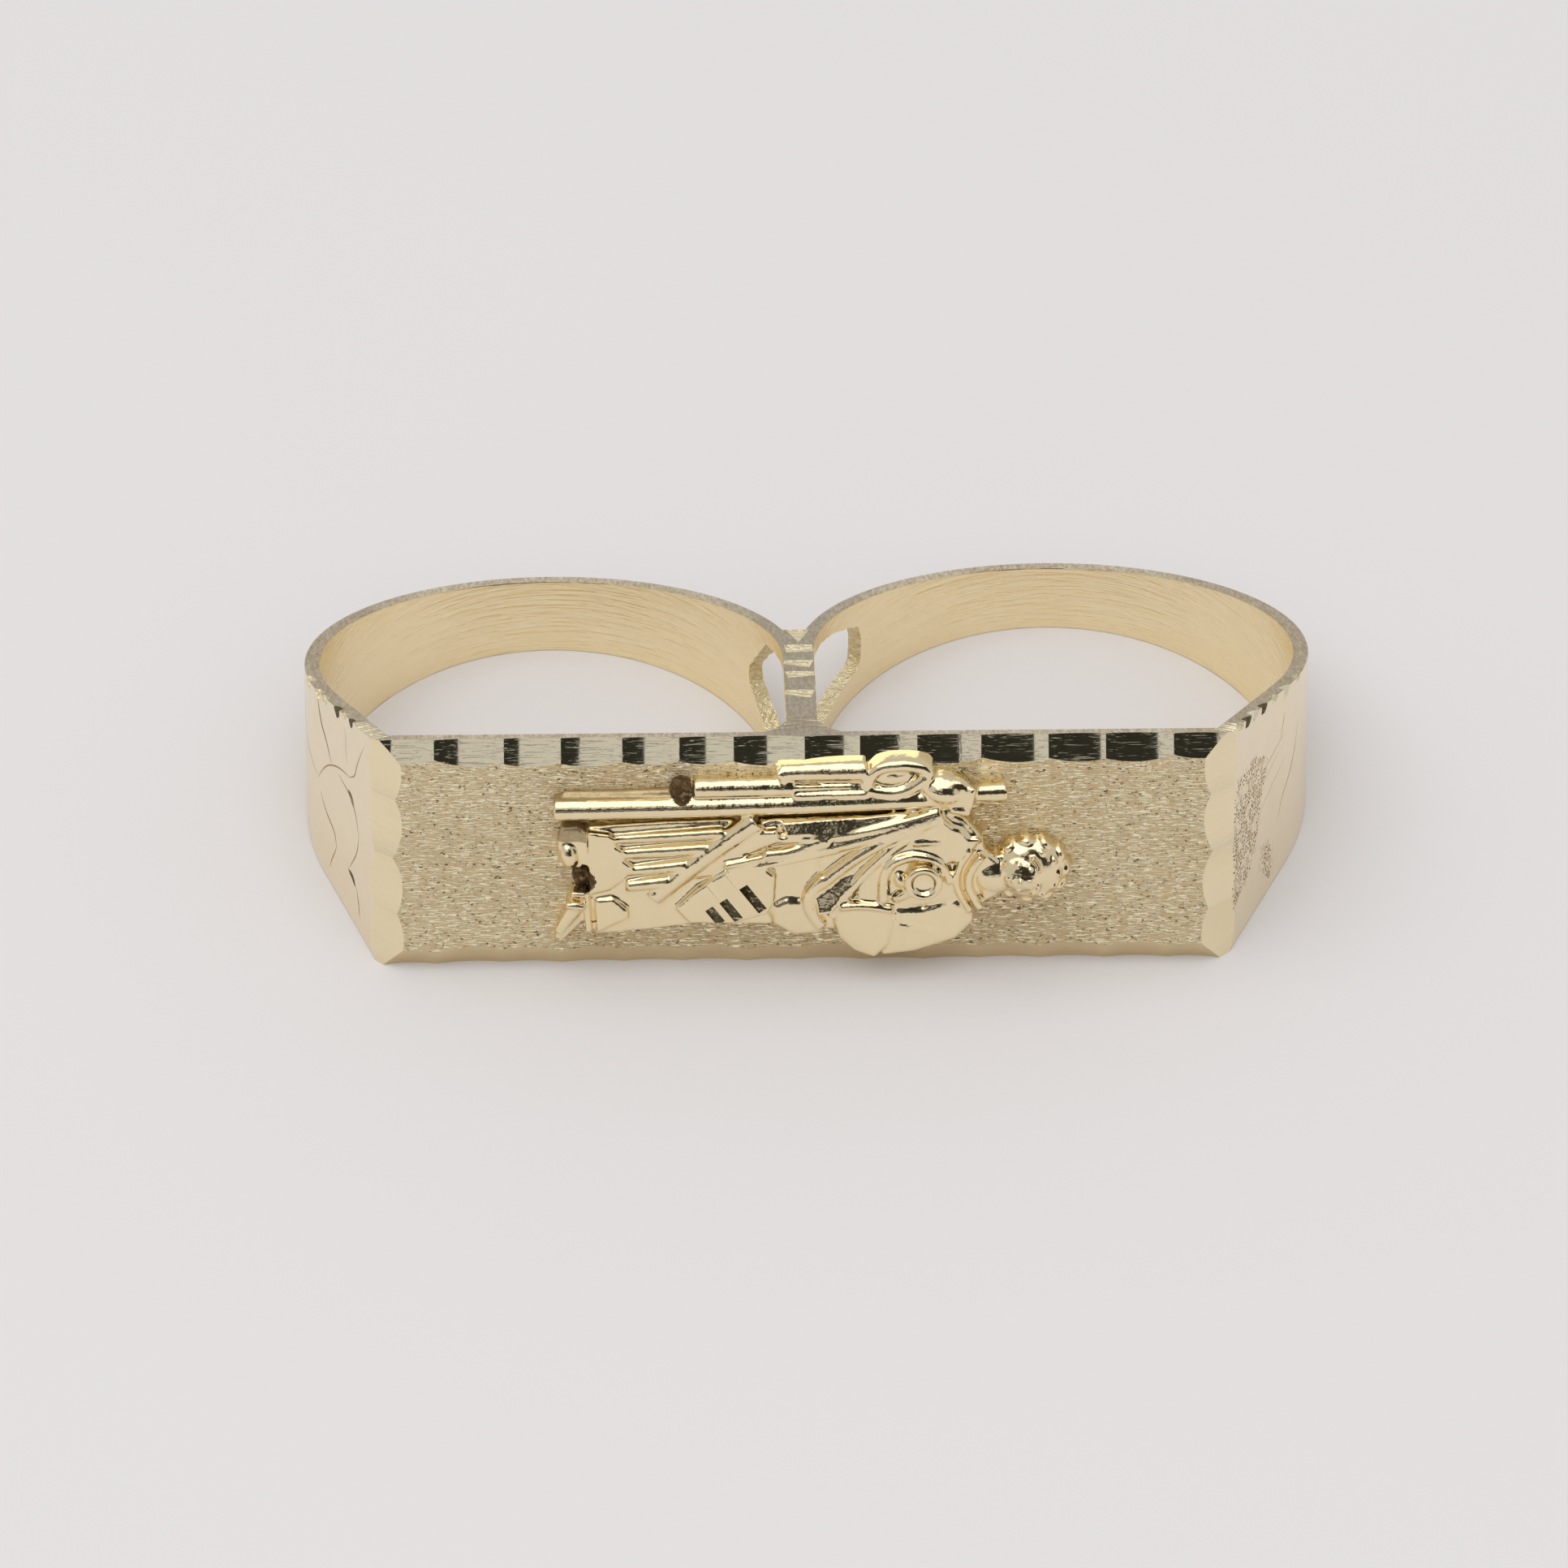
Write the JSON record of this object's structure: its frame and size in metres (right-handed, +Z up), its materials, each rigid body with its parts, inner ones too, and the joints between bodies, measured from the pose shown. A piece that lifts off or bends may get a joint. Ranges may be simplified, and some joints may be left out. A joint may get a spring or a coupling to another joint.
{
  "type": "two finger ring",
  "caption": "Gold two finger ring: a wide face plate with bright-cut borders and a raised robed figure, on two tapered bands joined by a pierced bridge.",
  "frame": {"origin": "on the face that the ring rests on, under the bridge between the fingers, level with the middle of the two finger openings", "axes": "+X along the face plate to the wearer's larger opening, +Y from the plate to the back of the hoops, +Z up off the resting face; the finger axis leans back from +Z by the half angle of the taper"},
  "size_m": [0.0419, 0.0229, 0.0106],
  "materials": {
    "gold": "pale yellow gold alloy, polished relief and bright-cut borders on a grained ground"
  },
  "bodies": {
    "root": {"ring": "gold"}
  },
  "joints": []
}
